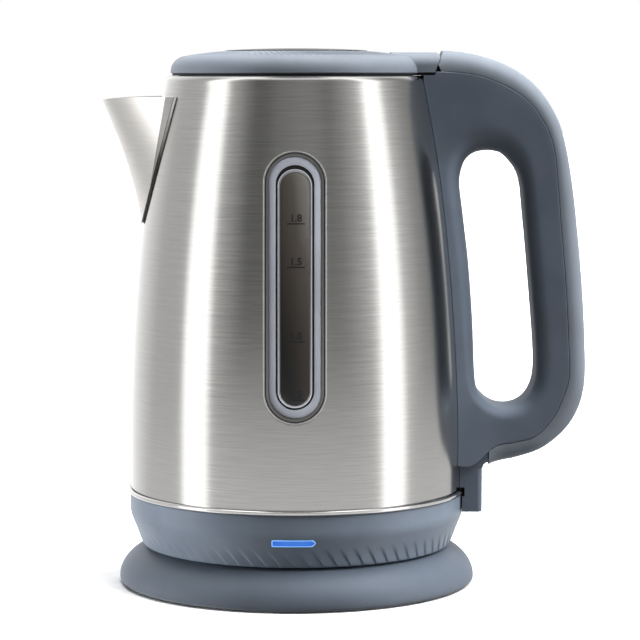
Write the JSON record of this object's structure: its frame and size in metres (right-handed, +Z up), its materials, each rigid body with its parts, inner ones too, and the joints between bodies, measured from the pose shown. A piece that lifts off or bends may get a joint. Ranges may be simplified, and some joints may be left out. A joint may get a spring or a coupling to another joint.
{
  "type": "electric kettle",
  "caption": "Cordless kettle with a tapered brushed steel body, gauge window, spout, hinged lid, loop handle and plastic skirt, standing on a round power base with a swivel connector.",
  "frame": {"origin": "on the table under the centre of the power base", "axes": "+Z up, +X from the body's axis towards the handle, -X towards the spout, -Y the side with the gauge window"},
  "size_m": [0.2158, 0.16, 0.2395],
  "materials": {
    "slate_plastic": "fine satin texture, slate blue-grey",
    "slate_dark_plastic": "fine satin texture, darker slate",
    "slate_gloss": "smooth, lightly polished",
    "black_plastic": "moulded, plain",
    "steel_brushed": "brushed round the body",
    "steel_plain": "plain sheet and turned steel",
    "ring_chrome": "polished",
    "spreader_aluminium": "plain pressed sheet",
    "element_sheath": "drawn tube, lightly oxidised",
    "contact_brass": "plain",
    "seal_rubber": "soft, smooth",
    "foot_rubber": "plain",
    "clear_window": "clear, moulded",
    "lit_lens": "clear blue diffuser",
    "brown_gloss": "high gloss, dark brown"
  },
  "bodies": {
    "power_base": {"base_cover": "slate_plastic", "base_plate": "black_plastic", "base_feet": "foot_rubber", "base_connector": "black_plastic", "base_contacts": "contact_brass", "base_screws": "steel_plain", "lead_bush": "foot_rubber"},
    "swivel_socket": {"connector_socket": "black_plastic", "socket_contacts": "contact_brass"},
    "kettle": {"skirt": "slate_plastic", "bottom_cover": "black_plastic", "bottom_screws": "steel_plain", "trim_ring": "ring_chrome", "indicator_lens": "lit_lens", "indicator_board": "black_plastic", "body_shell": "steel_brushed", "spout": "steel_brushed", "spout_filter": "steel_plain", "top_collar": "slate_dark_plastic", "window_lens": "clear_window", "window_seal": "seal_rubber", "window_clamp": "slate_dark_plastic", "heating_plate": "steel_plain", "heat_spreader": "spreader_aluminium", "heater_element": "element_sheath", "control_unit": "black_plastic", "bimetal_discs": "contact_brass", "control_studs": "steel_plain", "terminal_tabs": "contact_brass", "steam_tube": "slate_dark_plastic", "handle_frame": "slate_dark_plastic", "handle_cover": "slate_gloss", "handle_screws": "steel_plain", "lid_pin": "steel_plain", "button_spring": "steel_plain", "switch_pin": "steel_plain"},
    "lid": {"lid_cover": "slate_plastic", "lid_plug": "slate_dark_plastic", "lid_seal": "seal_rubber", "lid_disc": "brown_gloss", "lid_screws": "steel_plain", "lid_spring": "steel_plain"},
    "lid_button": {"lid_button": "slate_dark_plastic"},
    "lid_latch": {"lid_latch": "slate_dark_plastic"},
    "power_switch": {"power_switch": "slate_dark_plastic"}
  },
  "joints": [
    {"name": "kettle_lift", "type": "slide", "parent": "power_base", "child": "swivel_socket", "axis": [0, 0, 1], "range_m": [0, 0.06]},
    {"name": "kettle_swivel", "type": "hinge", "parent": "swivel_socket", "child": "kettle", "pos_m": [0, 0, 0.03], "axis": [0, 0, 1], "continuous": true},
    {"name": "lid_hinge", "type": "hinge", "parent": "kettle", "child": "lid", "pos_m": [0.0609, 0, 0.2352], "axis": [0, 1, 0], "range_deg": [0, 78]},
    {"name": "button_press", "type": "slide", "parent": "kettle", "child": "lid_button", "axis": [0, 0, -1], "range_m": [0, 0.0025], "stiffness_N_per_m": 400, "deforming": ["button_spring"]},
    {"name": "latch_slide", "type": "slide", "parent": "kettle", "child": "lid_latch", "axis": [1, 0, 0], "range_m": [0, 0.0025]},
    {"name": "switch_rock", "type": "hinge", "parent": "kettle", "child": "power_switch", "pos_m": [0.0806, 0, 0.0425], "axis": [0, -1, 0], "range_deg": [0, 8]}
  ],
  "couplings": [
    {"joint": "latch_slide", "follows": "button_press", "ratio": 1}
  ]
}
